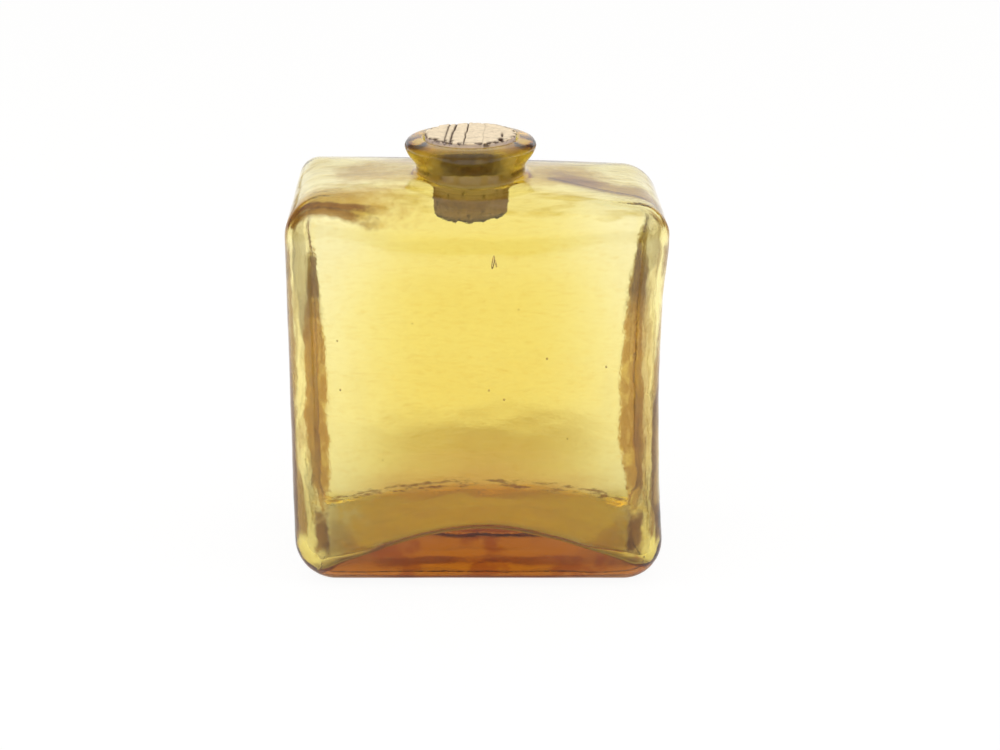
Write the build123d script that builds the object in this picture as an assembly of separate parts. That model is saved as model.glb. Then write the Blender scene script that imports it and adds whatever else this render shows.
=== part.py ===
from build123d import *
import math
import os

# A square-shouldered glass bottle, blown in a mould, with a tapered cork in its neck.
# Millimetres. The origin is the middle of the standing face, +Z runs up the neck,
# +X runs along the wide side and -Y faces the viewer.

os.makedirs("parts", exist_ok=True)

# Body, outside. The shoulders lean down to the right, and the right side is sunk.
shoulder_width = 130.0
base_spread = 2.8
base_shift = 0.5
body_depth = 73.0
shoulder_height = 139.95
shoulder_lean = 3.1
crown_rise = 0.8
side_sink = 2.8
sink_height = 62.0
heel_radius = 15.0
left_shoulder_radius = 11.6
right_shoulder_radius = 12.4
face_edge_radius = 11.0
kick_depth = 1.2
kick_width = 84.0
kick_length = 36.0

# Glass thickness
wall = 4.0
floor_thickness = 5.0
ceiling_thickness = 5.5
inner_edge_radius = 7.5

# Thick glass low on the two wide walls, highest half way along
swell_radius = 30.0
swell_length = 104.0

# Neck and lip. The shares say how far up the neck each place of its profile lies.
neck_height = 15.25
neck_offset = 2.5
neck_radius = 19.0
neck_root_share = 0.82
neck_waist_share = 0.37
lip_flank_radius = 21.6
lip_flank_share = 0.62
lip_radius = 22.8
lip_widest_share = 0.81
lip_land_radius = 17.8
mouth_round = 0.9
throat_round = 3.0

# Tapered cork
cork_top_radius = 15.9
cork_tip_radius = 12.6
cork_length = 29.0
cork_proud = 1.4
cork_top_edge = 0.5
cork_tip_edge = 0.9
cork_clearance = 0.05

# How far a cutting body runs past what it cuts
overrun = 5.0

# How far a ring edge's length may be off the circle's, where the surface is crowned
ring_tolerance_share = 0.03

# The dish under the base is the cap of a flattened ball this many times as high
kick_roundness = 3

base_width = shoulder_width + base_spread
left_shoulder_height = shoulder_height + shoulder_lean / 2
right_shoulder_height = shoulder_height - shoulder_lean / 2
lip_top_height = shoulder_height + neck_height
neck_waist_height = shoulder_height + neck_height * neck_waist_share
lip_flank_height = shoulder_height + neck_height * lip_flank_share
lip_widest_height = shoulder_height + neck_height * lip_widest_share
ceiling_height = shoulder_height - ceiling_thickness
cork_top_height = lip_top_height + cork_proud
cork_tip_height = cork_top_height - cork_length
cork_taper = (cork_top_radius - cork_tip_radius) / cork_length


def bore_radius_at(height):
    """Radius of the tapered bore at a height: the cork there, and its clearance."""
    return cork_tip_radius + cork_taper * (height - cork_tip_height) + cork_clearance


def front_outline(side_inset, bottom, top_inset):
    """The bottle's front outline drawn in by the glass: sloping top, sunk right side."""
    low_left = base_shift - base_width / 2 + side_inset
    low_right = base_shift + base_width / 2 - side_inset
    high = shoulder_width / 2 - side_inset
    left_height = left_shoulder_height - top_inset
    right_height = right_shoulder_height - top_inset
    top = shoulder_height - top_inset + crown_rise
    straight_share = sink_height / right_shoulder_height
    sunk_side = low_right + (high - low_right) * straight_share - side_sink
    with BuildSketch(Plane.XZ) as outline:
        with BuildLine():
            Line((-high, left_height), (low_left, bottom))
            Line((low_left, bottom), (low_right, bottom))
            Spline((low_right, bottom), (sunk_side, sink_height), (high, right_height))
            ThreePointArc((high, right_height), (0, top), (-high, left_height))
        make_face()
        corners = outline.vertices().group_by(Axis.Y)
        fillet(corners[0], heel_radius - side_inset)
        left = outline.vertices().sort_by(Axis.Y)[-1]
        fillet(left, left_shoulder_radius - side_inset)
        right = outline.vertices().sort_by_distance((high, right_height))[0]
        fillet(right, right_shoulder_radius - side_inset)
    return outline.sketch


def rounded_block(outline, depth, edge_radius):
    """The front outline carried through the depth, with both face edges rounded."""
    block = extrude(outline, amount=depth / 2, both=True)
    faces = block.faces().sort_by(Axis.Y)
    rims = faces[0].edges() + faces[-1].edges()
    return fillet(rims, edge_radius)


def neck_and_lip():
    """The neck as a turned shape: straight root, flared underside, rounded lip."""
    root = ceiling_height
    waist = (neck_radius, neck_waist_height)
    flank = (lip_flank_radius, lip_flank_height)
    widest = (lip_radius, lip_widest_height)
    land = (lip_land_radius, lip_top_height)
    with BuildSketch(Plane.XZ) as section:
        with BuildLine():
            Line((0, root), (neck_radius, root))
            Line((neck_radius, root), waist)
            Spline(waist, flank, widest, tangents=((0, 1), (0, 1)))
            Spline(widest, land, tangents=((0, 1), (-1, 0)))
            Line(land, (0, lip_top_height))
            Line((0, lip_top_height), (0, root))
        make_face()
    return revolve(section.sketch, Axis.Z)


def bore():
    """The tapered bore, from inside the body to above the mouth."""
    low = ceiling_height - overrun
    high = cork_top_height + overrun
    cone = Cone(bore_radius_at(low), bore_radius_at(high), high - low)
    return cone.moved(Location((0, 0, (low + high) / 2)))


def swell(side):
    """Glass left thick at the foot of one wide wall: a corner block less an hourglass."""
    wall_face = body_depth / 2 - wall
    corner = Box(swell_length, swell_radius, swell_radius)
    centre_y = side * (wall_face - swell_radius / 2)
    corner = corner.moved(Location((0, centre_y, floor_thickness + swell_radius / 2)))
    end_radius = swell_radius * math.sqrt(2)
    half_length = swell_length / 2
    with BuildSketch(Plane.XY) as section:
        with BuildLine():
            Line((-half_length, 0), (half_length, 0))
            Line((half_length, 0), (half_length, end_radius))
            ThreePointArc(
                (half_length, end_radius), (0, swell_radius), (-half_length, end_radius)
            )
            Line((-half_length, end_radius), (-half_length, 0))
        make_face()
    hourglass = revolve(section.sketch, Axis.X)
    place = (0, side * (wall_face - swell_radius), floor_thickness + swell_radius)
    return corner - hourglass.moved(Location(place))


def kick():
    """The shallow dish under the base, so that the bottle stands on a ring."""
    full_height = kick_depth * kick_roundness
    rim_share = math.sqrt(1 - (1 - 1 / kick_roundness) ** 2)
    half_width = kick_width / (2 * rim_share)
    half_length = kick_length / (2 * rim_share)
    ball = scale(Sphere(1), by=(half_width, half_length, full_height))
    return ball.moved(Location((0, 0, kick_depth - full_height)))


def ring_edge(shape, radius, low, high):
    """The round edge about the neck's axis, of a radius, between two heights."""
    for edge in shape.edges():
        about_right = abs(edge.length / (2 * math.pi * radius) - 1) < ring_tolerance_share
        if edge.is_closed and about_right and low < edge.center().Z < high:
            return edge
    raise ValueError("no ring edge there")


def glass_bottle():
    """One blown piece: body, neck and lip are the same glass."""
    neck_place = Location((-neck_offset, 0, 0))
    outside = rounded_block(front_outline(0, 0, 0), body_depth, face_edge_radius)
    blank = outside + neck_and_lip().moved(neck_place)
    straight_neck = neck_waist_height - shoulder_height - crown_rise
    root = ring_edge(blank, neck_radius, ceiling_height, neck_waist_height - straight_neck / 2)
    blank = fillet(root, straight_neck * neck_root_share)
    inner_outline = front_outline(wall, floor_thickness, ceiling_thickness)
    hollow = rounded_block(inner_outline, body_depth - 2 * wall, inner_edge_radius)
    hollow = hollow - swell(-1) - swell(1)
    hollow += bore().moved(neck_place)
    throat_radius = bore_radius_at(ceiling_height)
    throat = ring_edge(hollow, throat_radius, ceiling_height - overrun, lip_widest_height)
    hollow = fillet(throat, throat_round)
    bottle = blank - hollow - kick()
    mouth = ring_edge(bottle, bore_radius_at(lip_top_height), lip_widest_height, cork_top_height)
    return fillet(mouth, mouth_round)


def cork_stopper():
    """The cork: a cone frustum cut from bark, its two rims eased."""
    cone = Cone(cork_tip_radius, cork_top_radius, cork_length)
    cone = cone.moved(Location((-neck_offset, 0, cork_tip_height + cork_length / 2)))
    rims = cone.edges().filter_by(GeomType.CIRCLE).sort_by(Axis.Z)
    cone = chamfer(rims[-1], cork_top_edge)
    rims = cone.edges().filter_by(GeomType.CIRCLE).sort_by(Axis.Z)
    return chamfer(rims[0], cork_tip_edge)


export_step(glass_bottle(), "parts/glass_bottle.step")
export_step(cork_stopper(), "parts/cork_stopper.step")
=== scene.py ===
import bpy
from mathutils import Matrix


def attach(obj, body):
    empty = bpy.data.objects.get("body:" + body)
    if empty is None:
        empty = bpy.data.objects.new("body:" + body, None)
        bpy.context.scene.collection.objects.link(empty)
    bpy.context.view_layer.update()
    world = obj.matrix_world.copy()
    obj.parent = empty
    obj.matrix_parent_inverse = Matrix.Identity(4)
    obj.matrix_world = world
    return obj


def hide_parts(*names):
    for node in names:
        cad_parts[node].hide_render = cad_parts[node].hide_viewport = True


bl_info = {
    "name": "Corked square bottle",
    "version": (1, 0, 0),
    "blender": (4, 5, 0),
    "location": "View3D > Sidebar > Bottle",
    "description": "A mould-blown amber bottle with a tapered cork, and the stage it stands on",
    "category": "Add Mesh",
}

import math
from functools import partial, reduce

import bpy
import numpy as np
from bpy.props import FloatProperty, FloatVectorProperty, PointerProperty
from bpy.types import Operator, Panel, PropertyGroup
from mathutils import Vector

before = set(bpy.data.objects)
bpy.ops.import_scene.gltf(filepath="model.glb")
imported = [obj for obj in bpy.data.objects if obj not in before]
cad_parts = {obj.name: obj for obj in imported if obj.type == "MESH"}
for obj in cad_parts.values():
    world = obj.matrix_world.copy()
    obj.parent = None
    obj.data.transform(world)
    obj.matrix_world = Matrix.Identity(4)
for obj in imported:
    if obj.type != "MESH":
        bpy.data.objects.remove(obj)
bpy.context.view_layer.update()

MM = 0.001
GLASS_IOR = 1.52
CORK_IOR = 1.4

# A colour mix node's inputs, and the option that eases both ends of a range.
MIX_SHARE = 0
MIX_UNDER = 6
MIX_OVER = 7
SMOOTH = {"interpolation_type": "SMOOTHSTEP"}

# Places on the glass that more than one of its parts is made from.
ABOVE_FLOOR = 100 * MM
THROAT_RISE = 9 * MM


def linear(hex_colour):
    """An sRGB hex colour as linear red, green, blue and full alpha."""
    parts = [int(hex_colour[i : i + 2], 16) / 255 for i in (1, 3, 5)]
    return tuple(c / 12.92 if c <= 0.04045 else ((c + 0.055) / 1.055) ** 2.4 for c in parts) + (1.0,)


WHITE = linear("#FFFFFF")


def length(name, description, millimetres):
    """A size that a user may change, kept in metres."""
    return FloatProperty(
        name=name,
        description=description,
        default=millimetres * MM,
        min=0.0,
        unit="LENGTH",
        subtype="DISTANCE",
        precision=5,
    )


def colour_choice(name, description, hex_colour):
    """A colour that a user may change."""
    return FloatVectorProperty(
        name=name,
        description=description,
        subtype="COLOR",
        size=4,
        min=0.0,
        max=1.0,
        default=linear(hex_colour),
    )


class BottleGlassSizes(PropertyGroup):
    """Sizes of the blown glass."""

    shoulder_width: length("Shoulder width", "Width of the body under its shoulders", 130.0)
    base_spread: length("Base spread", "How much wider the base is than the shoulders", 2.8)
    base_shift: length("Base shift", "How far the base lies to the right of the middle", 0.5)
    body_depth: length("Body depth", "Depth of the body from front to back", 73.0)
    shoulder_height: length("Shoulder height", "Height of the shoulders' rims", 139.95)
    shoulder_lean: length("Shoulder lean", "How much higher the left shoulder is", 3.1)
    crown_rise: length("Crown rise", "How far the shoulders rise from side to side", 0.8)
    roof_rise: length("Roof rise", "How far the shoulders rise from their rims to the neck", 2.2)
    side_sink: length("Side sink", "How far the right side is sunk", 2.8)
    heel_radius: length("Heel radius", "Rounding of the two lower side edges", 15.0)
    left_radius: length("Left shoulder radius", "Rounding of the left shoulder", 11.6)
    right_radius: length("Right shoulder radius", "Rounding of the right shoulder", 12.4)
    face_edge_radius: length("Face edge radius", "Rounding round the two wide faces", 11.0)
    brow_radius: length("Brow radius", "Rounding of the front face into the shoulders", 18.0)
    kick_depth: length("Kick depth", "Depth of the dish under the base", 1.2)
    wall: length("Wall", "Thickness of the glass in the middle of the wide walls", 6.3)
    high_wall: length("High wall", "Thickness of the wide walls under the shoulders", 3.2)
    thin_wall: length("Thin wall", "Thickness of the wide walls near the sides", 3.4)
    corner_wall: length("Corner wall", "Thickness of the wide walls in the upper corners", 2.1)
    floor_thickness: length("Floor", "Thickness of the base at its ends", 3.7)
    ceiling_thickness: length("Ceiling", "Thickness of the glass in the shoulders", 2.4)
    inner_radius: length("Inner radius", "Rounding of the hollow's lower edges", 7.5)
    corner_radius: length("Corner radius", "Rounding of the hollow's upright edges at the back", 12.0)
    left_upper_corner: length("Left upper corner", "The same edge's rounding, high on the left", 3.0)
    right_upper_corner: length("Right upper corner", "The same edge's rounding, high on the right", 5.5)
    back_edge_radius: length("Back edge radius", "Rounding of the back face's upright edges", 2.2)
    side_wall: length("Side wall", "Thickness of the glass in the narrow sides", 1.7)
    low_side: length("Low side", "How much thicker the narrow sides are at their foot", 1.5)
    side_taper: length("Side taper", "How much thinner the sides grow from front to back", 1.6)
    thin_roof: length("Thin roof", "Thickness of the glass in the outer shoulders", 2.1)
    front_heel: length("Front heel", "How much thicker the base is at the middle of its front", 17.5)
    back_heel: length("Back heel", "How much thicker the base is at the middle of its back", 5.9)
    floor_edge_radius: length("Floor edge radius", "Rounding of the hollow's floor at the wide walls", 3.0)
    neck_offset: length("Neck offset", "How far the neck stands to the left of the middle", 2.5)
    neck_radius: length("Neck radius", "Outside radius of the neck", 19.0)
    waist_rise: length("Waist rise", "How far up the neck is straight before it flares", 2.9)
    root_radius: length("Root radius", "Fillet between the shoulders and the neck", 1.4)
    lip_radius: length("Lip radius", "Outside radius of the lip", 22.8)
    lip_height: length("Lip height", "Height of the lip's top", 155.2)
    mouth_round: length("Mouth round", "Rounding of the lip into the bore", 1.2)
    throat_radius: length("Throat radius", "Fillet between the bore and the shoulders inside", 3.6)
    waviness: length("Waviness", "How far the mould's unevenness goes into the faces", 0.25)
    lip_waviness: length("Lip waviness", "How far the hand work's unevenness goes into the lip", 0.1)


class BottleCorkSizes(PropertyGroup):
    """Sizes of the cork."""

    top_radius: length("Top radius", "Radius of the cork's upper face", 15.9)
    tip_radius: length("Tip radius", "Radius of the cork's lower face", 12.6)
    top_height: length("Top height", "Height of the cork's upper face", 156.6)
    cork_length: length("Length", "Length of the cork", 29.0)
    gap: length("Gap", "Air between the cork and the bore", 0.05)


class BottleColours(PropertyGroup):
    """Colours of the glass and the cork."""

    glass: colour_choice("Glass", "Colour of light that has come a long way through it", "#F7EB38")
    glass_density: FloatProperty(
        name="Glass density",
        description="How fast the glass takes light away, per metre",
        default=169.0,
        min=0.0,
    )
    cork: colour_choice("Cork", "Colour of freshly cut cork", "#DECFB4")


def meeting(first, second, radius):
    """Distance to what lies inside both surfaces, their meeting edge rounded."""
    corner = np.hypot(np.maximum(first + radius, 0), np.maximum(second + radius, 0))
    return np.minimum(np.maximum(first, second), -radius) + corner


def joining(first, second, radius):
    """Distance to either of two solids, the valley between them filled to a radius."""
    valley = np.hypot(np.maximum(radius - first, 0), np.maximum(radius - second, 0))
    return np.maximum(np.minimum(first, second), radius) - valley


def eased(values, low, high):
    """Nought below low, one above high, and a smooth rise between them."""
    share = np.clip((values - low) / (high - low), 0, 1)
    return share * share * (3 - 2 * share)


def ripple(places, wavelength, seed, stretch=(1, 1, 1)):
    """Smooth unevenness from nought to one, about as long as the wavelength."""
    dice = np.random.default_rng(seed)
    waves = 28
    usual_height = 4.2
    total = np.zeros(len(places))
    for _ in range(waves):
        way = dice.normal(size=3)
        way = way / np.linalg.norm(way) / np.array(stretch)
        turns = places @ way / wavelength * dice.uniform(0.6, 1.4)
        total += np.sin(2 * np.pi * (turns + dice.uniform()))
    return 0.5 + 0.5 * np.tanh(total / usual_height)


def least(*bounds):
    """How far inside every one of several bounds a place lies."""
    return reduce(np.minimum, bounds)


def within(values, low, high, share=1.0):
    """How far values lie between two bounds, times a share that softens both ends."""
    return np.minimum(values - low, high - values) * share


def settled(places, distance, turns=9):
    """The places moved square onto the surface of a distance, and its directions there."""
    step = 0.01 * MM
    flattest = 0.2
    for _ in range(turns):
        rises = [distance(places + step * way) - distance(places - step * way) for way in np.eye(3)]
        slope = np.stack(rises, axis=1) / (2 * step)
        size = np.maximum((slope**2).sum(axis=1), flattest)
        places = places - (distance(places) / size)[:, None] * slope
    return places, slope / np.sqrt(size)[:, None]


def roof_top(glass):
    """A height that no place on the shoulders' rims rises over."""
    return glass.shoulder_height + glass.shoulder_lean / 2 + glass.crown_rise


def roof_height(x, y, glass):
    """Height of the shoulders: leaning to the right, hipped from the neck to the corners."""
    half = glass.shoulder_width / 2
    level_half = 12 * MM
    side_reach = 45 * MM
    back_reach = 26 * MM
    lean = -glass.shoulder_lean / 2 * x / half
    crown = glass.crown_rise * (1 - (x / half) ** 2)
    back_fall = (np.abs(y) / back_reach) ** 1.7
    side_fall = np.maximum((np.abs(x + glass.neck_offset) - level_half) / side_reach, 0) ** 1.4
    softness = 0.08
    most_fall = 1.6
    hip = np.logaddexp(back_fall / softness, side_fall / softness) * softness
    fall = glass.roof_rise * (1 - np.minimum(hip, most_fall))
    return glass.shoulder_height + lean + crown + fall


def floor_height(x, y, glass):
    """Height of the hollow's floor: a heel tap, thickest at the middle of the front."""
    front_middle = 2 * MM
    reach = 58 * MM
    front_bulge = np.clip(1 - np.abs((x - front_middle) / reach) ** 1.7, 0, 1)
    back_bulge = np.clip(1 - (x / reach) ** 2, 0, 1)
    front = glass.floor_thickness + glass.front_heel * front_bulge
    back = 0.85 * glass.floor_thickness + glass.back_heel * back_bulge
    share = np.clip(0.5 - y / (glass.body_depth - 2 * glass.wall), 0, 1)
    return back + (front - back) * share


def rim_radius(x, y, z, glass, front_edge, brow, back_edge, back_low, back_brow):
    """Rounding of the wide faces' edges: broad over the front, tight up the back."""
    middle = 1 - eased(np.abs(x + glass.neck_offset), 14 * MM, 54 * MM)
    raised = eased(z, 80 * MM, 120 * MM)
    front = front_edge + (brow - front_edge) * middle * raised
    right_rounder = 1 + 0.25 * (x > 0)
    back = back_low + (back_edge * right_rounder - back_low) * eased(z, 10 * MM, 30 * MM)
    back = back + (back_brow - back) * eased(z, 100 * MM, 128 * MM)
    return front + (back - front) * eased(y, -6 * MM, 6 * MM)


def block_distance(places, glass, side_inset, face_inset, floor, roof_inset, edge_radius):
    """Distance to the body's block, drawn in on each side by the glass."""
    x, y, z = places.T
    half = glass.shoulder_width / 2
    spread = glass.base_spread / 2
    left_height = glass.shoulder_height + glass.shoulder_lean / 2
    right_height = glass.shoulder_height - glass.shoulder_lean / 2
    low_left = glass.base_shift - half - spread
    low_right = glass.base_shift + half + spread
    up_left = z / left_height
    up_right = z / right_height
    left = low_left + (-half - low_left) * up_left + side_inset - x
    full_sink = 1 - 0.9 * eased(z, 108 * MM, 130 * MM)
    sink = glass.side_sink * 4 * up_right * (1 - up_right) * full_sink
    right = x - (low_right + (half - low_right) * up_right - sink - side_inset)
    top = z - roof_height(x, y, glass) + roof_inset
    bottom = floor - z
    # The left shoulder is rounder in front and the right one at the back.
    back_share = np.clip(0.5 + y / glass.body_depth, 0, 1)
    left_radius = glass.left_radius * (1.35 - 0.75 * back_share) - side_inset
    right_radius = glass.right_radius * (0.8 + 0.3 * back_share) - side_inset
    heel = glass.heel_radius - side_inset
    front = np.maximum(
        np.maximum(meeting(left, bottom, heel), meeting(right, bottom, heel)),
        np.maximum(meeting(left, top, left_radius), meeting(right, top, right_radius)),
    )
    return meeting(front, np.abs(y) - glass.body_depth / 2 + face_inset, edge_radius)


def outside_distance(places, glass):
    """Distance to the outside of the body and the foot of the neck."""
    x, y, z = places.T
    dish_length = 44 * MM
    dish_width = 20 * MM
    dish = np.clip(1 - (x / dish_length) ** 2 - (y / dish_width) ** 2, 0, 1)
    dish = glass.kick_depth * dish * dish * (3 - 2 * dish)
    edge = glass.face_edge_radius
    tight = glass.back_edge_radius
    rim = rim_radius(x, y, z, glass, edge, glass.brow_radius, tight, tight, 0.75 * edge)
    block = block_distance(places, glass, 0.0, 0.0, dish, 0.0, rim)
    neck = np.hypot(x + glass.neck_offset, y) - glass.neck_radius
    return joining(block, np.maximum(neck, ABOVE_FLOOR - z), glass.root_radius)


def bore_radius(z, cork):
    """Radius of the tapered bore at a height: the cork's there and a hair more."""
    taper = (cork.top_radius - cork.tip_radius) / cork.cork_length
    return cork.top_radius + taper * (z - cork.top_height) + cork.gap


def inside_distance(places, glass, cork):
    """Distance to the hollow: thick at the foot of its wide walls, thin in the upper corners."""
    x, y, z = places.T
    # The wide walls grow thinner beside their middle and towards the shoulders.
    beside = eased(np.abs(x), 12 * MM, 58 * MM)
    high = eased(z, 60 * MM, 125 * MM)
    face = glass.wall + (glass.thin_wall - glass.wall) * beside
    face = face + (glass.corner_wall - glass.thin_wall) * beside * high
    face = face + (glass.high_wall - glass.wall) * (1 - beside) * eased(z, 104 * MM, 130 * MM)
    side = glass.side_wall - glass.side_taper * y / glass.body_depth
    side = side + glass.low_side * (1 - eased(z, 8 * MM, 45 * MM))

    # The rounding of the hollow's edges, tightest where its floor meets the wide walls.
    low = glass.inner_radius
    brow = glass.brow_radius + 0.8 * MM
    upper = np.where(x > 0, glass.right_upper_corner, glass.left_upper_corner)
    corner = glass.corner_radius + (upper - glass.corner_radius) * eased(z, 58 * MM, 118 * MM)
    rim = rim_radius(x, y, z, glass, low + 1.5 * MM, brow, corner, low, low)
    floor = floor_height(x, y, glass)
    above = np.maximum(eased(z - floor, 2 * MM, 16 * MM), eased(np.abs(x), 36 * MM, 56 * MM))
    rim = glass.floor_edge_radius + (rim - glass.floor_edge_radius) * above

    # The shoulders grow thinner outwards and thicker over the front.
    from_neck = np.hypot(x + glass.neck_offset, y)
    thinned = eased(from_neck, 20 * MM, 50 * MM)
    roof = glass.ceiling_thickness + (glass.thin_roof - glass.ceiling_thickness) * thinned
    middle = 1 - eased(np.abs(x + glass.neck_offset), 20 * MM, 48 * MM)
    roof = roof + 0.05 * np.maximum(-y - 4 * MM, 0) * middle
    hollow = block_distance(places, glass, side, face, floor, roof, rim)
    bore = from_neck - bore_radius(z, cork)
    return joining(hollow, np.maximum(bore, ABOVE_FLOOR - z), glass.throat_radius)


def crowned_steps(low, high, low_zone, high_zone, fine, coarse):
    """Places from low to high, close together in a zone at each end."""
    first = np.linspace(low, low + low_zone, round(low_zone / fine), endpoint=False)
    middle_length = high - low - low_zone - high_zone
    middle = np.linspace(low + low_zone, high - high_zone, round(middle_length / coarse), endpoint=False)
    last = np.linspace(high - high_zone, high, round(high_zone / fine) + 1)
    return np.concatenate([first, middle, last])


def ring_of(xs, ys):
    """The box's outline seen from above, from its front left corner to the right and round."""
    low_x, high_x, low_y, high_y = xs[0], xs[-1], ys[0], ys[-1]
    front = [(x, low_y) for x in xs[:-1]]
    right = [(high_x, y) for y in ys[:-1]]
    back = [(x, high_y) for x in xs[:0:-1]]
    left = [(low_x, y) for y in ys[:0:-1]]
    return np.array(front + right + back + left)


def smooth_profile(points, count):
    """A smooth curve through points of a turned profile, as that many of its places."""
    points = np.array(points)
    padded = np.vstack([2 * points[0] - points[1], points, 2 * points[-1] - points[-2]])
    spans = len(points) - 1
    at = np.linspace(0, spans, count)
    index = np.minimum(at.astype(int), spans - 1)
    share = (at - index)[:, None]
    a, b, c, d = (padded[index + k] for k in range(4))
    return 0.5 * (
        2 * b
        + (c - a) * share
        + (2 * a - 5 * b + 4 * c - d) * share**2
        + (3 * b - a - 3 * c + d) * share**3
    )


class Shell:
    """Vertices and faces gathered ring by ring into one closed skin."""

    def __init__(self):
        self.places = []
        self.faces = []
        self.count = 0

    def add(self, places):
        """Adds places and returns their numbers."""
        self.places.append(np.asarray(places))
        numbers = np.arange(self.count, self.count + len(places))
        self.count += len(places)
        return numbers

    def add_rings(self, places, size, number):
        """Adds a number of rings that lie one after another, and then the places left over."""
        rings = [self.add(places[k * size : (k + 1) * size]) for k in range(number)]
        return rings, self.add(places[number * size :])

    def tube(self, rings, poles=()):
        """Joins rings one after another, and closes the first and the last at their poles."""
        for low, high in zip(rings, rings[1:]):
            quads = np.stack([low, np.roll(low, -1), np.roll(high, -1), high], axis=1)
            self.faces.extend(quads.tolist())
        for ring, pole, flipped in zip((rings[0], rings[-1]), poles, (True, False)):
            following = np.roll(ring, -1)
            pair = (following, ring) if flipped else (ring, following)
            self.faces.extend(np.stack([*pair, np.full(len(ring), pole)], axis=1).tolist())

    def plate(self, ring, inner, grid, flipped):
        """Fills a box-shaped ring with a grid whose inner places are already added."""
        nx = len(grid.xs) - 1
        ny = len(grid.ys) - 1
        numbers = np.zeros((nx + 1, ny + 1), dtype=int)
        numbers[1:-1, 1:-1] = inner.reshape(nx - 1, ny - 1)
        loop = np.append(ring, ring[0])
        numbers[:, 0] = loop[: nx + 1]
        numbers[nx, :] = loop[nx : nx + ny + 1]
        numbers[::-1, ny] = loop[nx + ny : 2 * nx + ny + 1]
        numbers[0, ::-1] = loop[2 * nx + ny :]
        quads = np.stack(
            [numbers[:-1, :-1], numbers[1:, :-1], numbers[1:, 1:], numbers[:-1, 1:]], axis=-1
        ).reshape(-1, 4)
        if flipped:
            quads = quads[:, ::-1]
        self.faces.extend(quads.tolist())

    def mesh_object(self, name, material):
        """The skin as a smooth-shaded object with one material."""
        mesh = bpy.data.meshes.new(name)
        mesh.from_pydata(np.vstack(self.places).tolist(), [], self.faces)
        mesh.polygons.foreach_set("use_smooth", [True] * len(mesh.polygons))
        mesh.update()
        mesh.materials.append(material)
        made = bpy.data.objects.new(name, mesh)
        bpy.context.scene.collection.objects.link(made)
        return made


class BodyGrid:
    """Places seen from above that all the body's rings share: a box's outline and its inside."""

    def __init__(self, glass):
        fine = 0.85 * MM
        self.xs, self.ys = (
            crowned_steps(-size / 2, size / 2, corner_zone, corner_zone, fine, coarse)
            for size, corner_zone, coarse in (
                (glass.shoulder_width, 13 * MM, 2.2 * MM),
                (glass.body_depth, 11 * MM, 2.0 * MM),
            )
        )
        self.outline = ring_of(self.xs, self.ys)
        self.offset = glass.neck_offset
        self.angles = np.arctan2(self.outline[:, 1], self.outline[:, 0] + self.offset)
        inner_xs, inner_ys = np.meshgrid(self.xs[1:-1], self.ys[1:-1], indexing="ij")
        self.inner = np.column_stack([inner_xs.ravel(), inner_ys.ravel()])

    def circle(self, radius, z):
        """A circle about the neck's axis with a place for each one of the outline."""
        return turned_ring(self.angles, radius, z, self.offset)


def with_height(ring, z):
    """A flat ring lifted to a height."""
    return np.column_stack([ring, np.full(len(ring), z)])


def turned_ring(angles, radius, z, offset):
    """A circle about the neck's axis."""
    return np.column_stack(
        [radius * np.cos(angles) - offset, radius * np.sin(angles), np.full(len(angles), z)]
    )


def add_seed(shell, middle, width, height, lean):
    """A small bubble in the glass, drawn out by the blowing: a skin turned inside out."""
    around = np.linspace(0, 2 * math.pi, 12, endpoint=False)
    rings = []
    for turn in np.linspace(0, math.pi, 9)[1:-1]:
        rise = height * np.cos(turn)
        rings.append(shell.add(turned_ring(around, width * np.sin(turn), rise, -lean * rise) + middle))
    poles = shell.add(np.array([[lean * height, 0, height], [-lean * height, 0, -height]]) + middle)
    shell.tube(rings, poles)


def corner_tones(x, y, z, glass):
    """The brown of the upright back corners, partly thicker glass and partly painted shade,
    and the painted shade of the dark rims along the narrow sides.
    """
    plane_out = 0.4
    right_sink = 1.9
    sink_height = 125
    least_reach = 4.0
    on_right = x > 0
    half_width = glass.shoulder_width / 2 / MM + plane_out
    sunk = right_sink * np.sin(np.pi * np.clip(z / sink_height, 0, 1))
    depth = np.where(on_right, half_width - sunk - x, x + half_width)

    # How far the brown reaches in from each side, and from where to where it lies along y.
    left_reach = 9.2 - 7.5 * (np.maximum(z - 58, 0) / 51) ** 2
    right_reach = 14.0 - 9.0 * ((z - 45) / 64) ** 2
    reach = np.where(on_right, right_reach, left_reach)
    reach = np.where(y < 28, np.maximum(reach, least_reach), reach)
    heights = [16, 37, 57, 78, 91, 103, 115, 126]
    left_start = np.interp(z, heights, [10, 0, -7, -7, -16, -20, -28, -25])
    right_start = np.interp(z, heights, [13, 7, 5, 14, 12, 4, -20, -24])
    start = np.where(on_right, right_start, left_start)
    end = np.where(on_right, 40, 40 - 30 * eased(z, 98, 110))
    brown = least(y - start, reach - depth, (z - 4) * 0.5, (134 - z) * 0.1, (end - y) * 0.3)

    # The rims' middle and half width, in from the narrow sides.
    middle = 0.5 + np.where(on_right, 1.2 * (1 - eased(z, 66, 76)) * eased(z, 24, 32), 0)
    half_rim = 1.8 - 0.8 * eased(z, 60, 100)
    return {
        "corners": least(brown, (108 - z) * 0.12),
        "upper_corners": least(brown, (z - 82) * 0.12) + 1,
        "rims": least(half_rim - np.abs(depth - middle), -20 - y, within(z, 14, 126, 0.2)),
    }


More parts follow.
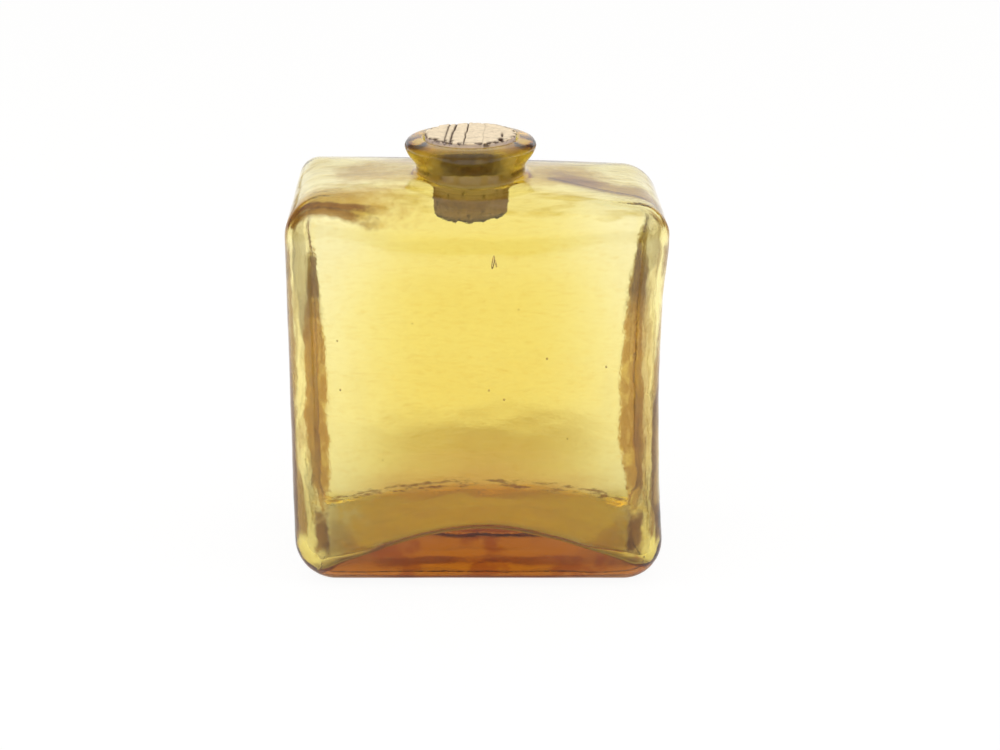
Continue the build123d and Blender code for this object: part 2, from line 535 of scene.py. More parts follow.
def shoulder_tones(x, y, z, glass):
    """The painted shade over the shoulders: dark lines and tan bands behind the brow on the
    left, and behind a hip from the neck to the corner on the right. Also the streaks, the
    collar round the neck and the ground bore."""
    from_neck = x + glass.neck_offset / MM
    radius = np.hypot(from_neck, y)
    oval = np.hypot(0.8 * from_neck, 1.3 * y)
    above = z - 130
    behind_brow = y + 32.2 - 0.15 * np.maximum(-52 - x, 0)
    behind_hip = y - np.interp(x, [20, 26, 41.7, 58.7, 64], [-2.5, -6.5, -15.8, -21, -28])
    return {
        "shoulder_line": least(within(behind_brow, 0, 3.4), (-32 - x) * 0.12, above),
        "shoulder_tan": least(behind_brow, (-12 - y) * 0.12, (-16 - x) * 0.06, above),
        "hip_line": least(within(behind_hip, 0, 2.6), (x - 22) * 0.15, above),
        "hip_tan": least(behind_hip, (18 - behind_hip) * 0.2, (x - 20) * 0.12, above),
        "streaks": least(z - 134, (30 - np.abs(y)) * 0.3, (radius - 27) * 0.3, 0.2),
        "collar": least((42 - oval) * 0.2, z - 134, (147 - z) * 0.3, (y + 14) * 0.3),
        "ground": ((radius < 16.5) & (z > 136)).astype(float),
    }


def foot_tones(x, y, z):
    """The base, the heel over it with a painted dark line along its crease, and the darker
    patches beside them. They lie on the front face, between the arch of the base and the
    line of the heel's upper edge. Under the arch lies thicker glass with painted shade."""
    arch = 22.4 - 0.0052 * (x - 2) ** 2
    line = 39.4 - 5.0 * ((x - 2) / 47) ** 2
    on_front = -28 - y
    outside_crease = 9.0
    return {
        "foot": least(5.0 - z, -24 - y),
        "heel": least(within(z, arch + 1, line), (58 - np.abs(x - 4)) * 0.06, 1.5, on_front),
        "low_dark_patches": least(within(np.abs(x), 52, 58), within(z, 11, 31, 0.3), on_front),
        # A painted dark line along the heel's crease.
        "crease": np.where((y < -27) & (np.abs(x) < 52), line - z + 0.6, outside_crease),
        # Thicker glass and painted shade under the arch of the base.
        "thick_base_and_shade": least(arch - z, 0.3, -26 - y),
    }


def glass_tones(places, glass):
    """How far inside each toned zone of the glass a place lies, in millimetres. A bound times
    a share fades that much more slowly. The mottle is everywhere, and the ground bore is a
    share from nought to one."""
    x, y, z = (places / MM).T
    return {
        **corner_tones(x, y, z, glass),
        **shoulder_tones(x, y, z, glass),
        **foot_tones(x, y, z),
        "mottle": np.zeros(len(places)),
    }


def mould_marks(places, long_wave, short_wave, seed):
    """Unevenness that a mould leaves: long swells and shorter ones over them."""
    swells = ripple(places, long_wave, seed, (1.6, 1, 0.8))
    dimples = ripple(places, short_wave, seed + 2, (2.5, 1, 0.7))
    return 0.6 * swells + 0.4 * dimples


def add_outside(shell, grid, glass):
    """The body's outside from its base up to the neck's waist, and the base's plate."""
    roof = roof_top(glass)
    edge_zone = 16 * MM
    heights = crowned_steps(0.0, roof, edge_zone, edge_zone, 0.9 * MM, 2.2 * MM)
    rings = [with_height(grid.outline, z) for z in heights]
    way_in = grid.circle(glass.neck_radius, roof)[:, :2] - grid.outline
    for share in np.concatenate([np.linspace(0, 0.45, 15)[1:], np.linspace(0.45, 1, 16)[1:]]):
        rings.append(with_height(grid.outline + way_in * share, roof + 0.5 * MM * share))
    for z in np.linspace(roof, roof + glass.waist_rise, 6)[1:]:
        rings.append(grid.circle(glass.neck_radius, z))
    start = np.vstack(rings + [with_height(grid.inner, 0.0)])
    places, ways = settled(start, lambda p: outside_distance(p, glass))
    z = places[:, 2]
    fade = (1 - eased(z, roof - 14 * MM, roof) * 0.7) * eased(z, 0.0, 3 * MM)
    dents = glass.waviness * mould_marks(places, 26 * MM, 7 * MM, 3) * fade
    rings, below = shell.add_rings(places - dents[:, None] * ways, len(grid.outline), len(rings))
    shell.plate(rings[0], below, grid, True)
    return rings


def add_lip(shell, grid, glass, cork):
    """The flared neck, the rounded lip and the tapered bore, turned about the neck's axis."""
    mouth_radius = bore_radius(glass.lip_height, cork)
    profile = [(glass.neck_radius, roof_top(glass) + glass.waist_rise)]
    # A radius, how far outside it the lip lies and how far under its top, in millimetres.
    for radius, out, under in (
        (glass.neck_radius, 0.1, 9.2),
        (glass.neck_radius, 1.1, 7.6),
        (glass.lip_radius, -1.0, 5.4),
        (glass.lip_radius, 0.0, 3.0),
        (glass.lip_radius, -0.6, 1.3),
        (glass.lip_radius, -2.0, 0.45),
        (glass.lip_radius, -4.0, 0.1),
        (glass.lip_radius, -5.4, 0.0),
        (mouth_radius, 0.9, 0.1),
    ):
        profile.append((radius + out * MM, glass.lip_height - under * MM))
    profile.append((mouth_radius, glass.lip_height - glass.mouth_round))
    rings = []
    for radius, z in smooth_profile(profile, 34)[1:]:
        flared = eased(radius, glass.neck_radius - 1.5 * MM, glass.neck_radius + 1.5 * MM)
        uneven = ripple(grid.circle(radius, z), 8 * MM, 81, (1, 1, 0.6))
        rings.append(shell.add(grid.circle(radius - glass.lip_waviness * uneven * flared, z)))
    throat_top = glass.shoulder_height - glass.ceiling_thickness + THROAT_RISE
    for z in np.linspace(glass.lip_height - glass.mouth_round, throat_top, 7)[1:]:
        rings.append(shell.add(grid.circle(bore_radius(z, cork), z)))
    return rings


def add_hollow(shell, grid, glass, cork):
    """The hollow's skin from the foot of the bore down to its floor."""
    ceiling = glass.shoulder_height - glass.ceiling_thickness
    shrink = (1 - 2 * glass.side_wall / glass.shoulder_width, 1 - 2 * glass.thin_wall / glass.body_depth)
    outline = grid.outline * shrink
    rings = []
    for z in np.linspace(ceiling + THROAT_RISE, ceiling + 1 * MM, 8)[1:]:
        rings.append(grid.circle(bore_radius(z, cork), z))
    throat = grid.circle(bore_radius(ceiling, cork), ceiling)[:, :2]
    for share in np.concatenate([np.linspace(0, 0.6, 13)[1:], np.linspace(0.6, 1, 12)[1:]]):
        rings.append(with_height(throat + (outline - throat) * share, ceiling))
    base = floor_height(outline[:, 0], outline[:, 1], glass)
    for share in crowned_steps(0, 1, 0.14, 0.1, 0.008, 0.016)[-2::-1]:
        rings.append(np.column_stack([outline, base + (ceiling - base) * share]))
    floor = grid.inner * shrink
    floor = np.column_stack([floor, floor_height(floor[:, 0], floor[:, 1], glass)])
    places, ways = settled(np.vstack(rings + [floor]), lambda p: inside_distance(p, glass, cork))
    fade = 1 - eased(places[:, 2], ceiling - 14 * MM, ceiling)
    dents = glass.waviness * (mould_marks(places, 22 * MM, 6 * MM, 13) - 0.5) * fade
    return shell.add_rings(places - dents[:, None] * ways, len(outline), len(rings))


def add_seeds(shell, glass):
    """The small bubbles in the front wall."""
    # Place along and up, depth under the face, half width and half height, millimetres; lean.
    for x, z, depth, width, height, lean in (
        (5.4, 120.7, 2.0, 0.5, 2.4, 0.15),
        (6.3, 120.2, 2.3, 0.3, 1.3, -0.2),
        (23.7, 86.5, 2.0, 0.35, 0.4, 0.0),
        (43.9, 83.6, 1.7, 0.35, 0.45, 0.0),
        (3.9, 74.8, 2.4, 0.35, 0.4, 0.0),
        (9.1, 71.5, 2.1, 0.4, 0.4, 0.0),
        (-47.5, 93.0, 1.5, 0.3, 0.35, 0.0),
        (-47.0, 75.2, 1.6, 0.3, 0.4, 0.0),
        (-22.0, 99.0, 2.2, 0.2, 0.25, 0.0),
        (14.0, 104.0, 2.4, 0.2, 0.25, 0.0),
        (31.0, 57.0, 2.0, 0.25, 0.3, 0.0),
        (-33.0, 49.0, 1.9, 0.2, 0.25, 0.0),
    ):
        middle = np.array([x * MM, depth * MM - glass.body_depth / 2, z * MM])
        add_seed(shell, middle, width * MM, height * MM, lean)


def glass_shell(glass, cork):
    """The blown glass as one closed skin: outside, lip, bore, and the hollow inside."""
    shell = Shell()
    grid = BodyGrid(glass)
    rings = add_outside(shell, grid, glass)
    rings += add_lip(shell, grid, glass, cork)
    hollow, floor = add_hollow(shell, grid, glass, cork)
    rings += hollow
    shell.tube(rings)
    shell.plate(rings[-1], floor, grid, False)
    add_seeds(shell, glass)
    shell.tones = glass_tones(np.vstack(shell.places), glass)
    return shell


def cork_shell(glass, cork):
    """The cork as one closed skin: a cut face, a ragged tapered side and a ragged tip."""
    shell = Shell()
    angles = np.linspace(-math.pi, math.pi, 300, endpoint=False)
    tip_height = cork.top_height - cork.cork_length
    tip_edge = 0.8 * MM
    top_edge = 0.5 * MM
    quarter = np.linspace(0, math.pi / 2, 5)
    profile = [(cork.tip_radius * share, tip_height) for share in np.linspace(0.08, 0.96, 22)]
    for turn in quarter:
        radius = cork.tip_radius - tip_edge + tip_edge * math.sin(turn)
        profile.append((radius, tip_height + tip_edge - tip_edge * math.cos(turn)))
    for z in np.linspace(tip_height + 1.4 * MM, cork.top_height - 1.0 * MM, 48):
        share = (z - tip_height) / cork.cork_length
        profile.append((cork.tip_radius + (cork.top_radius - cork.tip_radius) * share, z))
    for turn in quarter:
        radius = cork.top_radius - top_edge + top_edge * math.cos(turn)
        profile.append((radius, cork.top_height - top_edge + top_edge * math.sin(turn)))
    profile += [(cork.top_radius * share, cork.top_height) for share in np.linspace(0.95, 0.02, 40)]
    places = [turned_ring(angles, radius, z, glass.neck_offset) for radius, z in profile]
    for z in (tip_height, cork.top_height):
        places.append([[-glass.neck_offset, 0, z]])
    places, shell.cuts, shell.stain = worn_cork(np.vstack(places), glass, cork)
    rings, poles = shell.add_rings(places, len(angles), len(profile))
    shell.tube(rings, poles)
    return shell


def face_cuts(places, x, y):
    """How deep the growth lines, the pits and the crack go into the cork's upper face."""
    wander = 0.35 * MM * (ripple(places, 9 * MM, 21) - 0.5)
    depth = np.zeros(len(places))
    # Growth lines: place across, slant, half width and depth, millimetres.
    for place, slant, width, deep in (
        (-8.1, 0.05, 0.26, 0.5),
        (-6.0, 0.06, 0.3, 0.6),
        (-1.5, 0.04, 0.24, 0.5),
        (4.6, 0.03, 0.16, 0.15),
    ):
        off = x - place * MM - slant * y - wander
        depth = np.maximum(depth, deep * MM * np.exp(-((off / (width * MM)) ** 2)))
    # Pits and the crack: place, half width and half length, and depth, millimetres.
    for px, py, wide, tall, deep in (
        (-11.9, -8.5, 0.9, 0.8, 1.2),
        (-6.3, -11.0, 0.6, 0.9, 1.0),
        (-8.3, -10.5, 0.5, 0.7, 0.8),
        (1.6, -6.6, 0.8, 0.25, 0.4),
        (5.9, -6.6, 0.9, 0.25, 0.5),
        (10.4, -8.8, 0.7, 1.6, 1.3),
        (10.9, -3.0, 0.3, 2.6, 0.9),
        (7.4, 2.0, 0.3, 0.3, 0.3),
    ):
        off = ((x - px * MM) / (wide * MM)) ** 2 + ((y - py * MM) / (tall * MM)) ** 2
        depth = np.maximum(depth, deep * MM * np.exp(-off))
    return depth


def stained(places, x, y, z):
    """Painted shade on the cork's front behind the lip, ragged and streaked."""
    threads = 1.0 * MM * ripple(places, 3 * MM, 71, (1, 1, 8))
    blot = 1.6 * MM * (ripple(places, 6 * MM, 73) - 0.5)
    stain = eased(z + blot, 144.8 * MM, 146.8 * MM) * (1 - eased(z - blot, 151.2 * MM, 153.0 * MM))
    stain = stain * (1 - eased(np.abs(x) + threads + blot, 6.5 * MM, 13.5 * MM)) * (y < 0)
    return stain * (1 - 0.2 * ripple(places, 2 * MM, 75))


def worn_cork(places, glass, cork):
    """The cork's places with the growth lines, pits and broken rims cut in, how dark the
    cuts and the tip's lowest edge are at each, and the painted shade behind the lip."""
    x = places[:, 0] + glass.neck_offset
    y = places[:, 1]
    z = places[:, 2]
    radius = np.hypot(x, y)
    tip_height = cork.top_height - cork.cork_length
    on_top = eased(z, cork.top_height - 0.6 * MM, cork.top_height - 0.1 * MM)
    at_tip = 1 - eased(z, tip_height, tip_height + 1.2 * MM)
    on_side = (1 - on_top) * (1 - at_tip)
    worn = places.copy()

    depth = face_cuts(places, x, y)
    darkest_depth = 0.45 * MM
    worn[:, 2] -= depth * on_top
    cuts = np.clip(depth / darkest_depth, 0, 1) * on_top

    rim_depth = 0.9 * MM
    rim_in = 0.8 * MM * eased(-y, 6 * MM, 12 * MM)
    rim = on_top * eased(radius, cork.top_radius - 1.6 * MM - rim_in, cork.top_radius - rim_in)
    broken = ripple(places, 2.6 * MM, 31) ** 2
    worn[:, 2] -= rim * broken * rim_depth
    cuts = np.maximum(cuts, rim * eased(broken, 0.04, 0.3) * 0.95)

    notch_place = -3.6 * MM
    notch_width = 0.8 * MM
    chips = ripple(places, 3.2 * MM, 41) ** 2 * eased(radius, cork.tip_radius - 2.2 * MM, cork.tip_radius)
    notch = np.exp(-(((x - notch_place) / notch_width) ** 2)) * (y < 0) * eased(radius, 9 * MM, 12 * MM)
    worn[:, 2] += at_tip * (chips * 1.0 * MM + notch * 1.4 * MM)

    deepest_hole = 0.7 * MM
    holes = np.maximum(ripple(places, 3.5 * MM, 51, (1, 1, 0.5)) - 0.95, 0) / 0.05
    dent = on_side * (0.12 * MM * ripple(places, 5 * MM, 61) + deepest_hole * holes)
    shrink = 1 - dent / np.maximum(radius, 0.001 * MM)
    worn[:, 0] = x * shrink - glass.neck_offset
    worn[:, 1] = y * shrink
    cuts = np.maximum(cuts, on_side * eased(holes, 0.1, 0.6) * 0.6)

    frayed = 1 - eased(z, tip_height + 0.5 * MM, tip_height + 1.8 * MM)
    dark_tip = 1 - eased(z, tip_height + 0.6 * MM, tip_height + 2.2 * MM)
    cuts = np.maximum(cuts, frayed * eased(ripple(places, 1.6 * MM, 43), 0.1, 0.45) * 0.9)
    # The tip's lowest two millimetres grow darker towards the bottom.
    cuts = np.maximum(cuts, dark_tip * 0.9)
    return worn, cuts, stained(places, x, y, z)


def add_node(tree, kind, inputs=None, stops=(), **options):
    """One shader node: its options, its inputs, each a value, a socket or a node that feeds
    it through its first live output, and the stops of a colour ramp."""
    made = tree.nodes.new(kind)
    for name, value in options.items():
        setattr(made, name, value)
    for name, given in (inputs or {}).items():
        if isinstance(given, bpy.types.Node):
            given = next(out for out in given.outputs if out.enabled)
        if isinstance(given, bpy.types.NodeSocket):
            tree.links.new(given, made.inputs[name])
        else:
            made.inputs[name].default_value = given
    for index, (at, colour) in enumerate(stops):
        made.color_ramp.elements[index].position = at
        made.color_ramp.elements[index].color = colour
    return made


def new_material(name):
    """An empty material, and how to add a node to it."""
    material = bpy.data.materials.new(name)
    material.use_nodes = True
    material.node_tree.nodes.clear()
    return material, partial(add_node, material.node_tree)


def toned_glass_colour(add, where):
    """The glass's clear colour with a tint laid over each toned zone. Some tints stand for
    thicker or streakier glass, and many are painted shade: the dark lines and brown bands
    that the glass's edges and bends show, and the painted shade under the base. Each tint's
    edge is broken up as the real streaks are."""
    along_sides = add("ShaderNodeMapping", {"Vector": where, "Scale": (0.3, 1.0, 1.0)})
    drawn_out = ("streaks", "hip_tan", "mottle", "crease")
    half_crease = 0.7
    colour = linear("#FCFCF8")
    # Each zone's tint, how soft its edge is and how far the edge wanders, in millimetres, and
    # the edge pattern's scale per metre: 160 wanders every 6 mm or so and 640 every 1.5 mm.
    for name, tint, soft, wander, scale in (
        # The corners' brown is partly thicker glass and partly painted shade; the upper corners' grey is
        # painted shade.
        ("corners", "#B8903E", 1.2, 5.0, 160.0),
        ("upper_corners", "#A89C74", 2.0, 4.0, 200.0),
        # Painted shade: dark lines and tan bands behind the brow and the hip.
        ("shoulder_line", "#80581E", 1.0, 2.0, 220.0),
        ("shoulder_tan", "#D6BA78", 1.6, 2.5, 260.0),
        ("hip_line", "#6E5020", 0.8, 1.4, 220.0),
        ("hip_tan", "#B49440", 1.6, 2.5, 260.0),
        ("collar", "#CEB45C", 2.0, 3.0, 200.0),
        ("streaks", "#DCCC7C", 1.5, 9.0, 130.0),
        ("foot", "#C2BCC8", 1.6, 1.0, 300.0),
        ("heel", "#FCE060", 1.0, 1.6, 200.0),
        # Darker patches low beside the heel.
        ("low_dark_patches", "#96744C", 1.5, 4.0, 240.0),
        # Painted shade: dark rims along the narrow sides.
        ("rims", "#6E4C2C", 0.8, 1.2, 300.0),
        # Thicker glass and painted shade under the arch of the base.
        ("thick_base_and_shade", "#C4907A", 1.5, 9.0, 90.0),
        ("mottle", "#F6ECD4", 3.0, 8.0, 900.0),
        # Painted shade: a dark line along the heel's crease.
        ("crease", "#7C5A30", 1.2, 6.0, 640.0),
    ):
        path = along_sides if name in drawn_out else where
        grain = {"Vector": path, "Scale": scale, "Detail": 3.0, "Roughness": 0.55}
        pattern = add("ShaderNodeTexNoise", grain)
        inside = add("ShaderNodeAttribute", attribute_name=name).outputs["Fac"]
        if name == "crease":
            # The crease is a line: its attribute is the distance to either side of it.
            away = add("ShaderNodeMath", {0: inside}, operation="ABSOLUTE")
            inside = add("ShaderNodeMath", {0: half_crease, 1: away}, operation="SUBTRACT")
        wandering = add("ShaderNodeMath", {0: pattern, 1: wander, 2: inside}, operation="MULTIPLY_ADD")
        edge = {"Value": wandering, "From Min": wander / 2, "From Max": wander / 2 + soft}
        share = add("ShaderNodeMapRange", edge, **SMOOTH)
        tinted = {MIX_SHARE: share, MIX_UNDER: colour, MIX_OVER: linear(tint)}
        colour = add("ShaderNodeMix", tinted, data_type="RGBA", blend_type="MULTIPLY")
    return colour


def blown_amber_glass(colours):
    """Soda-lime glass blown in a mould: clear amber that deepens with thickness, its faces
    faintly wavy and pebbled where the cold mould chilled them, so lights in it waver. The
    ground bore and the scuffed standing ring are dull, which softens the neck and the foot."""
    material, add = new_material("mould-blown amber glass")
    where = add("ShaderNodeTexCoord").outputs["Object"]
    squashed = add("ShaderNodeMapping", {"Vector": where, "Scale": (0.35, 1.0, 1.0)})
    # Waves about 4 mm high and 11 mm long, with pebbles about 1 mm across over them.
    relief = {}
    for path, scale, roughness, depth in (
        (squashed, 260.0, 0.5, 0.04 * MM),
        (where, 900.0, 0.6, 0.02 * MM),
    ):
        grain = {"Vector": path, "Scale": scale, "Detail": 2.0, "Roughness": roughness}
        pattern = add("ShaderNodeTexNoise", grain)
        bump = {"Height": pattern, "Strength": 1.0, "Distance": depth}
        relief = {"Normal": add("ShaderNodeBump", {**bump, **relief})}
    height = add("ShaderNodeSeparateXYZ", {"Vector": where}).outputs["Z"]
    scuff = {"Value": height, "From Min": 0.5 * MM, "From Max": 1.8 * MM, "To Min": 0.22, "To Max": 0.0}
    scuffed = add("ShaderNodeMapRange", scuff)
    ground = add("ShaderNodeAttribute", attribute_name="ground").outputs["Fac"]
    ground_roughness = 0.32
    dull = add("ShaderNodeMath", {0: ground, 1: ground_roughness, 2: scuffed}, operation="MULTIPLY_ADD")
    clear = {"Base Color": toned_glass_colour(add, where), "IOR": GLASS_IOR, "Transmission Weight": 1.0}
    surface = add("ShaderNodeBsdfPrincipled", {**clear, "Roughness": dull, **relief})
    amber = {"Color": tuple(colours.glass), "Density": colours.glass_density}
    depth = add("ShaderNodeVolumeAbsorption", amber)
    add("ShaderNodeOutputMaterial", {"Surface": surface, "Volume": depth})
    return material


def cut_natural_cork(colours):
    """Cork cut from bark and sanded: a pale buff face, mottled and pored, over a side that
    is darker below the neck and painted paler where the neck holds it, with dark pits and
    painted shade on its front behind the lip."""
    material, add = new_material("cut natural cork")
    where = add("ShaderNodeTexCoord").outputs["Object"]
    height = add("ShaderNodeSeparateXYZ", {"Vector": where}).outputs["Z"]
    # Grain about 2.5 mm across and pores about 1.5 mm apart, as in the bark.
    bark = {"Vector": where, "Scale": 420.0, "Detail": 6.0, "Roughness": 0.65}
    grain = add("ShaderNodeTexNoise", bark)
    pores = add("ShaderNodeTexVoronoi", {"Vector": where, "Scale": 700.0, "Randomness": 1.0})
    buff = tuple(colours.cork)
    shade = tuple(c * 0.8 for c in buff[:3]) + (1.0,)
    face, side_colour, dots = (
        add("ShaderNodeValToRGB", {"Fac": pattern}, stops=stops)
        for pattern, stops in (
            (grain, ((0.35, shade), (0.6, buff))),
            (grain, ((0.3, linear("#907664")), (0.65, linear("#B69A88")))),
            (pores, ((0.12, linear("#A07C59")), (0.2, WHITE))),
        )
    )
    # Painted light: from about 136 mm up the side is paler, standing for light that reaches it there
    # through the thick glass.
    in_neck = {"Value": height, "From Min": 133.5 * MM, "From Max": 136.5 * MM, "To Max": 0.75}
    painted_light_in_neck = add("ShaderNodeMapRange", in_neck, **SMOOTH)
    on_top = {"Value": height, "From Min": 155.8 * MM, "From Max": 156.3 * MM}
    sanded = add("ShaderNodeMapRange", on_top)
    stain, cuts = (
        add("ShaderNodeAttribute", attribute_name=name).outputs["Fac"] for name in ("stain", "cuts")
    )
    colour = side_colour
    for share, over, blend in (
        (painted_light_in_neck, linear("#DCD2D4"), "MIX"),
        (sanded, face, "MIX"),
        (0.3, dots, "MULTIPLY"),
        # Painted shade on the cork's front, behind the lip.
        (stain, linear("#4A2838"), "MIX"),
        (cuts, linear("#3A2416"), "MIX"),
    ):
        laid = {MIX_SHARE: share, MIX_UNDER: colour, MIX_OVER: over}
        colour = add("ShaderNodeMix", laid, data_type="RGBA", blend_type=blend)
    bumped = add("ShaderNodeBump", {"Height": grain, "Strength": 0.6, "Distance": 0.3 * MM})
    matt = {"Base Color": colour, "Normal": bumped, "Roughness": 0.85, "IOR": CORK_IOR}
    add("ShaderNodeOutputMaterial", {"Surface": add("ShaderNodeBsdfPrincipled", matt)})
    return material


def ray_share(add, shares):
    """How much of its own light the stage shows to each kind of ray."""
    rays = add("ShaderNodeLightPath")
    parts = [
        add("ShaderNodeMath", {0: rays.outputs[kind], 1: share}, operation="MULTIPLY")
        for kind, share in shares
    ]
    return reduce(lambda one, other: add("ShaderNodeMath", {0: one, 1: other}, operation="MAXIMUM"), parts)


def painted_card_shade(add, where):
    """Where painted shade stands for dark cards off the bottle's four corners: far enough out
    along both ways, each way's start drawn back by a share of the other."""
    parts = add("ShaderNodeSeparateXYZ", {"Vector": where})
    across, along = (
        add("ShaderNodeMath", {0: parts.outputs[axis]}, operation="ABSOLUTE") for axis in ("X", "Y")
    )
    card_edge = 12 * MM
    shares = []
    for way, other, drawn_back, start in (
        (across, along, 0.32, 44 * MM),
        (along, across, 1.35, 22 * MM),
    ):
        back = add("ShaderNodeMath", {0: other, 1: drawn_back}, operation="MULTIPLY")
        out = add("ShaderNodeMath", {0: way, 1: back}, operation="SUBTRACT")
        edge = {"Value": out, "From Min": start, "From Max": start + card_edge}
        shares.append(add("ShaderNodeMapRange", edge, **SMOOTH))
    return add("ShaderNodeMath", {0: shares[0], 1: shares[1]}, operation="MULTIPLY")


def floor_colour(add):
    """The floor's colour: white, with painted shade for dark cards, a painted shadow behind the
    bottle and a painted pool of amber light under it, which show in and through the glass alone."""
    where = add("ShaderNodeNewGeometry").outputs["Position"]
    # Painted shade standing for dark cards off the bottle's corners.
    shades = [(painted_card_shade(add, where), "#A98F6E")]
    # Each spot's middle, its half width and half length, its softness and its tint.
    for (x, y), (half_x, half_y), soft, tint in (
        # A painted shadow behind the bottle.
        ((2 * MM, 104 * MM), (52 * MM, 48 * MM), 0.9, "#C4B27C"),
        # A painted pool of amber light under the bottle.
        ((0.0, 0.0), (66 * MM, 110 * MM), 0.65, "#CC8A44"),
    ):
        place = {"Location": (-x / half_x, -y / half_y, 0), "Scale": (1 / half_x, 1 / half_y, 0)}
        spot = add("ShaderNodeMapping", {"Vector": where, **place})
        away = add("ShaderNodeVectorMath", {0: spot}, operation="LENGTH")
        fall = {"Value": away, "From Min": 1.0 - soft, "From Max": 1.0, "To Min": 1.0, "To Max": 0.0}
        shades.append((add("ShaderNodeMapRange", fall, **SMOOTH), tint))
    paper = linear("#F4F4F2")
    shaded = paper
    for share, tint in shades:
        laid = {MIX_SHARE: share, MIX_UNDER: shaded, MIX_OVER: linear(tint)}
        shaded = add("ShaderNodeMix", laid, data_type="RGBA")
    through = ray_share(add, (("Is Glossy Ray", 1.0), ("Is Transmission Ray", 1.0)))
    seen = {MIX_SHARE: through, MIX_UNDER: paper, MIX_OVER: shaded}
    return add("ShaderNodeMix", seen, data_type="RGBA")


def white_sweep():
    """The pale floor: matt paper that keeps the bottle's shadow, with a white glow of its own
    for the camera."""
    half = 3.0
    below = 0.1 * MM
    mesh = bpy.data.meshes.new("studio_floor")
    corners = [(x * half, y * half, -below) for x, y in ((-1, -1), (1, -1), (1, 1), (-1, 1))]
    mesh.from_pydata(corners, [], [(0, 1, 2, 3)])
    floor = bpy.data.objects.new("studio_floor", mesh)
    bpy.context.scene.collection.objects.link(floor)
    material, add = new_material("white sweep")
    glowing = (("Is Camera Ray", 0.93), ("Is Glossy Ray", 0.2), ("Is Transmission Ray", 0.05))
    share = ray_share(add, glowing)
    matt = add("ShaderNodeBsdfDiffuse", {"Color": floor_colour(add)})
    glow = add("ShaderNodeEmission", {"Color": WHITE, "Strength": 1.0})
    mixed = add("ShaderNodeMixShader", {"Fac": share, 1: matt, 2: glow})
    add("ShaderNodeOutputMaterial", {"Surface": mixed})
    mesh.materials.append(material)


def white_surround():
    """The room: white to the camera, and in the glass white behind the bottle and overhead
    and buff elsewhere, which draws the edges of the glass."""
    world = bpy.data.worlds.new("white surround")
    bpy.context.scene.world = world
    world.use_nodes = True
    world.node_tree.nodes.clear()
    add = partial(add_node, world.node_tree)
    way = add("ShaderNodeTexCoord").outputs["Generated"]
    parts = add("ShaderNodeSeparateXYZ", {"Vector": way})
    panels = []
    for axis, start, end in (("Y", 0.74, 0.86), ("Z", 0.4, 0.75)):
        edge = {"Value": parts.outputs[axis], "From Min": start, "From Max": end}
        panels.append(add("ShaderNodeMapRange", edge, **SMOOTH))
    lit = add("ShaderNodeMath", {0: panels[0], 1: panels[1]}, operation="MAXIMUM")
    walls = {MIX_SHARE: lit, MIX_UNDER: linear("#C4AA88"), MIX_OVER: WHITE}
    room = add("ShaderNodeMix", walls, data_type="RGBA")
    seen = ray_share(add, (("Is Camera Ray", 1.0),))
    dim = add("ShaderNodeBackground", {"Color": room, "Strength": 1.0})
    bright = add("ShaderNodeBackground", {"Color": WHITE, "Strength": 1.0})
    mixed = add("ShaderNodeMixShader", {"Fac": seen, 1: dim, 2: bright})
    add("ShaderNodeOutputWorld", {"Surface": mixed})


def soft_lamps():
    """A broad softbox over the front and a small one at each side, in metres and watts."""
    lit_place = Vector((0, 0, 80 * MM))
    for name, place, size, power in (
        ("softbox over", (-0.1, -1.24, 2.0), 2.2, 14.6),
        ("softbox left", (-0.9, -0.2, 0.55), 0.8, 4.0),
        ("softbox right", (0.9, -0.2, 0.55), 0.8, 4.0),
    ):
        light = bpy.data.lights.new(name, "AREA")
        light.shape = "SQUARE"
        light.size = size
        light.energy = power
        lamp = bpy.data.objects.new(name, light)
        lamp.location = place
        lamp.visible_glossy = False
        lamp.rotation_euler = (lit_place - lamp.location).to_track_quat("-Z", "Y").to_euler()
        bpy.context.scene.collection.objects.link(lamp)


def photo_camera():
    """The camera at the photograph's angle: a little over the bottle and looking down on it."""
    sensor = 36.0
    lens = 68.9
    pitch_down = 0.3578
    data = bpy.data.cameras.new("photo view")
    data.sensor_width = sensor
    data.lens = lens
    camera = bpy.data.objects.new("photo view", data)
    camera.location = (7.69 * MM, -647.3 * MM, 309.4 * MM)
    camera.rotation_euler = (math.pi / 2 - pitch_down, 0, 0)
    bpy.context.scene.collection.objects.link(camera)
    bpy.context.scene.camera = camera


def studio_stage():
    """A pale floor, a white surround, soft lamps and the camera."""
    scene = bpy.context.scene
    white_sweep()
    white_surround()
    soft_lamps()
    photo_camera()
    scene.view_settings.view_transform = "Standard"
    scene.cycles.max_bounces = 32
    scene.cycles.transmission_bounces = 32
    scene.cycles.glossy_bounces = 16


def add_marks(piece, marks):
    """Keeps named values for each of a piece's places, which its material reads."""
    for name, values in marks.items():
        mark = piece.data.attributes.new(name, "FLOAT", "POINT")
        mark.data.foreach_set("value", values)


class OBJECT_OT_bottle_glass(Operator):
    """Builds the blown glass bottle"""

    bl_idname = "object.bottle_glass"
    bl_label = "Glass bottle"

    def execute(self, context):
        glass = context.scene.bottle_glass
        cork = context.scene.bottle_cork
        material = blown_amber_glass(context.scene.bottle_colours)
        shell = glass_shell(glass, cork)
        piece = shell.mesh_object("blown_bottle", material)
        add_marks(piece, shell.tones)
        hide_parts("glass_bottle")
        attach(piece, "bottle")
        return {"FINISHED"}


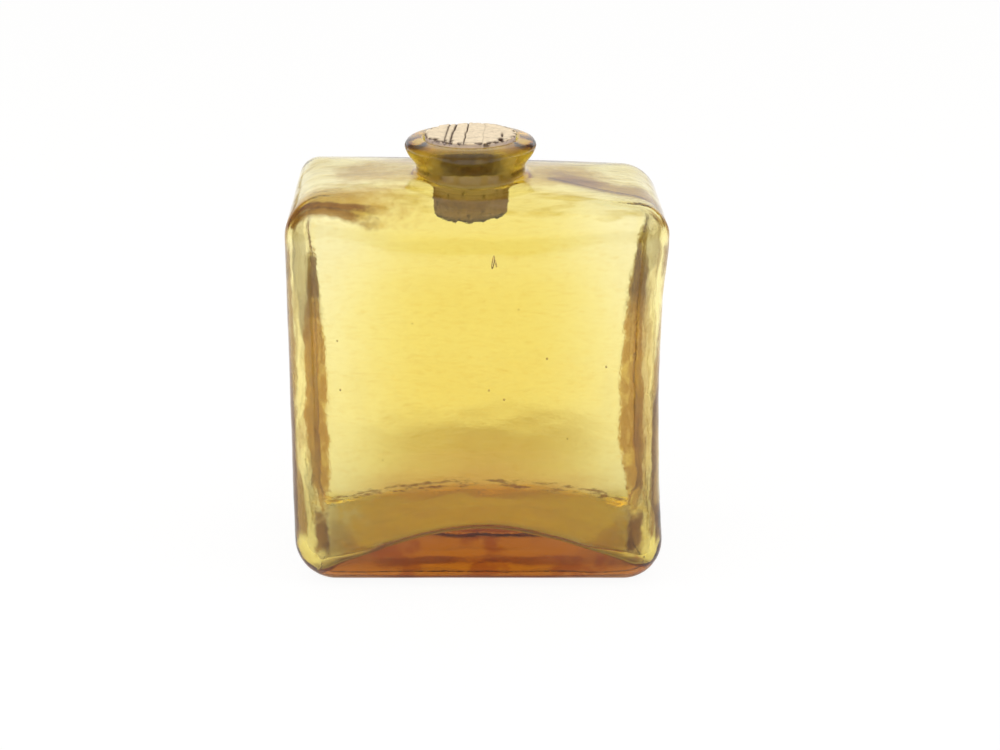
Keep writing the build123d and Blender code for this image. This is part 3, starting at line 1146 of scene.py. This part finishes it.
class OBJECT_OT_bottle_cork(Operator):
    """Builds the tapered cork"""

    bl_idname = "object.bottle_cork"
    bl_label = "Cork"

    def execute(self, context):
        glass = context.scene.bottle_glass
        cork = context.scene.bottle_cork
        material = cut_natural_cork(context.scene.bottle_colours)
        shell = cork_shell(glass, cork)
        piece = shell.mesh_object("tapered_cork", material)
        add_marks(piece, {"cuts": shell.cuts, "stain": shell.stain})
        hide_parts("cork_stopper")
        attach(piece, "stopper")
        return {"FINISHED"}


class OBJECT_OT_bottle_stage(Operator):
    """Sets the floor, the surround, the lamps and the camera"""

    bl_idname = "object.bottle_stage"
    bl_label = "Stage"

    def execute(self, context):
        studio_stage()
        return {"FINISHED"}


class VIEW3D_PT_bottle(Panel):
    """Sizes, colours and pieces of the bottle"""

    bl_idname = "VIEW3D_PT_bottle"
    bl_label = "Bottle"
    bl_space_type = "VIEW_3D"
    bl_region_type = "UI"
    bl_category = "Bottle"

    def draw(self, context):
        for group in (context.scene.bottle_glass, context.scene.bottle_cork, context.scene.bottle_colours):
            box = self.layout.box()
            for name in group.bl_rna.properties.keys():
                if name not in ("rna_type", "name"):
                    box.prop(group, name)
        for operator in ("object.bottle_glass", "object.bottle_cork", "object.bottle_stage"):
            self.layout.operator(operator)


CLASSES = (
    BottleGlassSizes,
    BottleCorkSizes,
    BottleColours,
    OBJECT_OT_bottle_glass,
    OBJECT_OT_bottle_cork,
    OBJECT_OT_bottle_stage,
    VIEW3D_PT_bottle,
)


def register():
    for kind in CLASSES:
        bpy.utils.register_class(kind)
    bpy.types.Scene.bottle_glass = PointerProperty(type=BottleGlassSizes)
    bpy.types.Scene.bottle_cork = PointerProperty(type=BottleCorkSizes)
    bpy.types.Scene.bottle_colours = PointerProperty(type=BottleColours)


def unregister():
    del bpy.types.Scene.bottle_colours
    del bpy.types.Scene.bottle_cork
    del bpy.types.Scene.bottle_glass
    for kind in reversed(CLASSES):
        bpy.utils.unregister_class(kind)


def main():
    """Builds every piece and the stage."""
    register()
    bpy.ops.object.bottle_glass()
    bpy.ops.object.bottle_cork()
    bpy.ops.object.bottle_stage()


if __name__ == "__main__":
    main()
